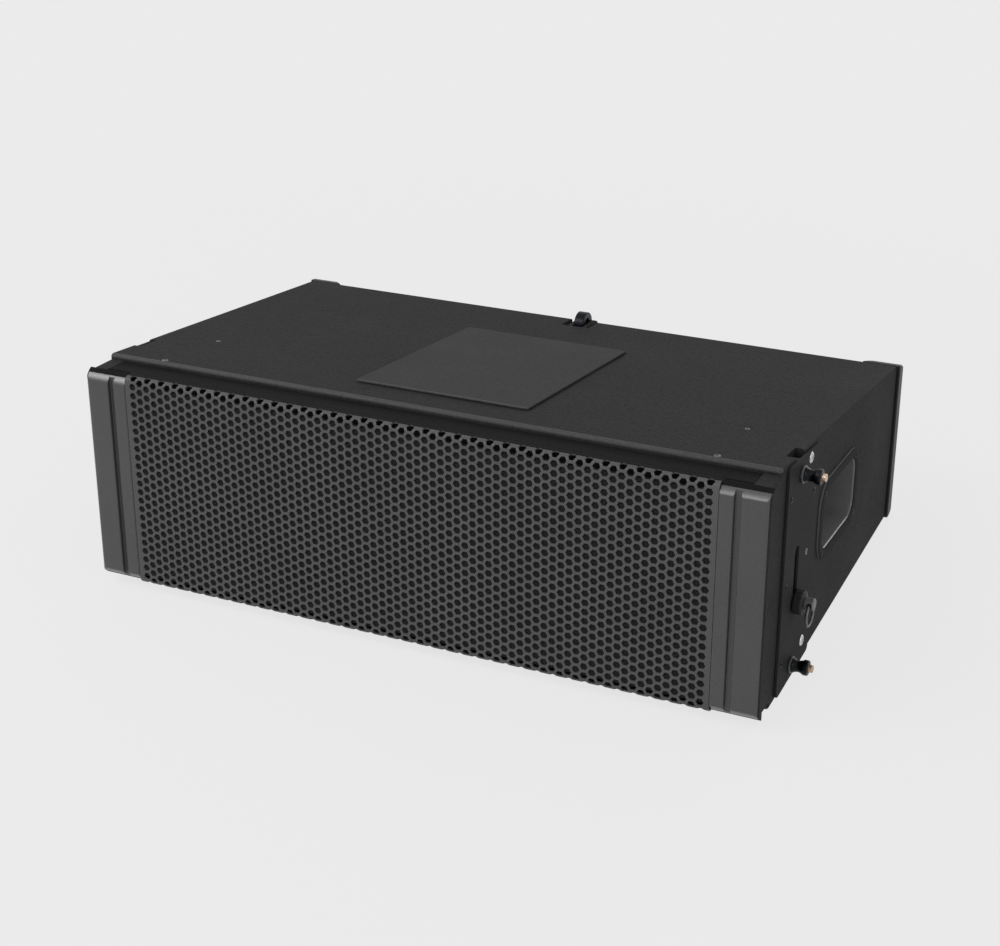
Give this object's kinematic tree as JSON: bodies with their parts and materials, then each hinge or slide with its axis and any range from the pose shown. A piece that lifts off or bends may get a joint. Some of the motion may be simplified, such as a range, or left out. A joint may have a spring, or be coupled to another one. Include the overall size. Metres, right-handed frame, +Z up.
{
  "type": "line array loudspeaker",
  "caption": "Wedge-shaped line array loudspeaker with a perforated steel grille, cone woofers, a waveguide, recessed handles and pinned sliding link rigging.",
  "frame": {"origin": "bottom centre of the bounding box: on the cabinet's middle plane, half way from the front trims to the rear skids, level with the lowest edge of the box", "axes": "+X to the right of someone who faces the grille, +Y from the grille to the rear, +Z up with the front face upright"},
  "size_m": [0.829, 0.496, 0.2612],
  "materials": {
    "cabinet_paint": "textured dark grey paint",
    "trim_paint": "satin grey paint",
    "grille_paint": "satin powder coat",
    "foam": "open cell foam",
    "plywood": "bare plywood",
    "moulded_black": "moulded",
    "handle_black": "moulded",
    "skid_black": "moulded",
    "ferrite": "matte",
    "board": "circuit board",
    "black_steel": "satin black coat",
    "zinc_steel": "zinc plated",
    "knob_black": "moulded",
    "pin_black": "black coated steel",
    "button_bronze": "satin",
    "cast_alloy": "cast",
    "cone_paper": "coated paper",
    "surround_rubber": "matte",
    "spider_cloth": "impregnated cloth",
    "coil_copper": "copper winding"
  },
  "bodies": {
    "cabinet": {"top_panel": "cabinet_paint", "bottom_panel": "cabinet_paint", "left_side_panel": "cabinet_paint", "right_side_panel": "cabinet_paint", "rear_panel": "cabinet_paint", "top_front_rail": "cabinet_paint", "bottom_front_rail": "cabinet_paint", "top_cover_plate": "cabinet_paint", "left_front_trim": "trim_paint", "right_front_trim": "trim_paint", "front_grille": "grille_paint", "grille_foam": "foam", "front_baffle": "plywood", "horn_waveguide": "moulded_black", "hf_driver_cap": "moulded_black", "input_socket": "moulded_black", "link_socket": "moulded_black", "left_handle_cup": "handle_black", "right_handle_cup": "handle_black", "left_rear_skid": "skid_black", "right_rear_skid": "skid_black", "hf_driver_body": "ferrite", "crossover_board": "board", "connector_plate": "black_steel", "rear_bracket": "black_steel", "left_rigging_plate": "black_steel", "right_rigging_plate": "black_steel", "left_woofer_frame": "cast_alloy", "left_woofer_magnet": "ferrite", "left_woofer_yoke": "zinc_steel", "left_woofer_surround": "surround_rubber", "left_woofer_spider": "spider_cloth", "right_woofer_frame": "cast_alloy", "right_woofer_magnet": "ferrite", "right_woofer_yoke": "zinc_steel", "right_woofer_surround": "surround_rubber", "right_woofer_spider": "spider_cloth"},
    "left_link": {"left_link_bar": "black_steel", "left_lift_knob": "knob_black"},
    "left_ring": {"left_pull_ring": "zinc_steel"},
    "left_upper_pin": {"left_upper_pin": "pin_black"},
    "left_upper_pin_button": {"left_upper_pin_button": "button_bronze"},
    "left_lower_pin": {"left_lower_pin": "pin_black"},
    "left_lower_pin_button": {"left_lower_pin_button": "button_bronze"},
    "right_link": {"right_link_bar": "black_steel", "right_lift_knob": "knob_black"},
    "right_ring": {"right_pull_ring": "zinc_steel"},
    "right_upper_pin": {"right_upper_pin": "pin_black"},
    "right_upper_pin_button": {"right_upper_pin_button": "button_bronze"},
    "right_lower_pin": {"right_lower_pin": "pin_black"},
    "right_lower_pin_button": {"right_lower_pin_button": "button_bronze"},
    "rear_link": {"rear_link_bar": "black_steel"},
    "rear_pin": {"rear_pin": "pin_black"},
    "rear_pin_button": {"rear_pin_button": "button_bronze"},
    "left_cone": {"left_woofer_cone": "cone_paper", "left_woofer_dust_cap": "cone_paper", "left_voice_coil": "coil_copper"},
    "right_cone": {"right_woofer_cone": "cone_paper", "right_woofer_dust_cap": "cone_paper", "right_voice_coil": "coil_copper"}
  },
  "joints": [
    {"name": "left_link_lift", "type": "slide", "parent": "cabinet", "child": "left_link", "axis": [0, 0, 1], "range_m": [0, 0.054]},
    {"name": "left_ring_swing", "type": "hinge", "parent": "left_link", "child": "left_ring", "pos_m": [-0.407, -0.148, 0.098], "axis": [0, 1, 0], "range_deg": [0, 80]},
    {"name": "left_upper_pin_pull", "type": "slide", "parent": "cabinet", "child": "left_upper_pin", "axis": [-1, 0, 0], "range_m": [0, 0.045]},
    {"name": "left_upper_pin_press", "type": "slide", "parent": "left_upper_pin", "child": "left_upper_pin_button", "axis": [1, 0, 0], "range_m": [0, 0.003], "stiffness_N_per_m": 600},
    {"name": "left_lower_pin_pull", "type": "slide", "parent": "cabinet", "child": "left_lower_pin", "axis": [-1, 0, 0], "range_m": [0, 0.045]},
    {"name": "left_lower_pin_press", "type": "slide", "parent": "left_lower_pin", "child": "left_lower_pin_button", "axis": [1, 0, 0], "range_m": [0, 0.003], "stiffness_N_per_m": 600},
    {"name": "right_link_lift", "type": "slide", "parent": "cabinet", "child": "right_link", "axis": [0, 0, 1], "range_m": [0, 0.054]},
    {"name": "right_ring_swing", "type": "hinge", "parent": "right_link", "child": "right_ring", "pos_m": [0.407, -0.148, 0.098], "axis": [0, -1, 0], "range_deg": [0, 80]},
    {"name": "right_upper_pin_pull", "type": "slide", "parent": "cabinet", "child": "right_upper_pin", "axis": [1, 0, 0], "range_m": [0, 0.045]},
    {"name": "right_upper_pin_press", "type": "slide", "parent": "right_upper_pin", "child": "right_upper_pin_button", "axis": [-1, 0, 0], "range_m": [0, 0.003], "stiffness_N_per_m": 600},
    {"name": "right_lower_pin_pull", "type": "slide", "parent": "cabinet", "child": "right_lower_pin", "axis": [1, 0, 0], "range_m": [0, 0.045]},
    {"name": "right_lower_pin_press", "type": "slide", "parent": "right_lower_pin", "child": "right_lower_pin_button", "axis": [-1, 0, 0], "range_m": [0, 0.003], "stiffness_N_per_m": 600},
    {"name": "rear_link_lift", "type": "slide", "parent": "cabinet", "child": "rear_link", "axis": [0, 0, 1], "range_m": [0, 0.094]},
    {"name": "rear_pin_pull", "type": "slide", "parent": "cabinet", "child": "rear_pin", "axis": [1, 0, 0], "range_m": [0, 0.045]},
    {"name": "rear_pin_press", "type": "slide", "parent": "rear_pin", "child": "rear_pin_button", "axis": [-1, 0, 0], "range_m": [0, 0.003], "stiffness_N_per_m": 600},
    {"name": "left_cone_stroke", "type": "slide", "parent": "cabinet", "child": "left_cone", "axis": [0, -1, 0], "range_m": [-0.006, 0.006], "stiffness_N_per_m": 2500, "deforming": ["left_woofer_surround", "left_woofer_spider"]},
    {"name": "right_cone_stroke", "type": "slide", "parent": "cabinet", "child": "right_cone", "axis": [0, -1, 0], "range_m": [-0.006, 0.006], "stiffness_N_per_m": 2500, "deforming": ["right_woofer_surround", "right_woofer_spider"]}
  ]
}
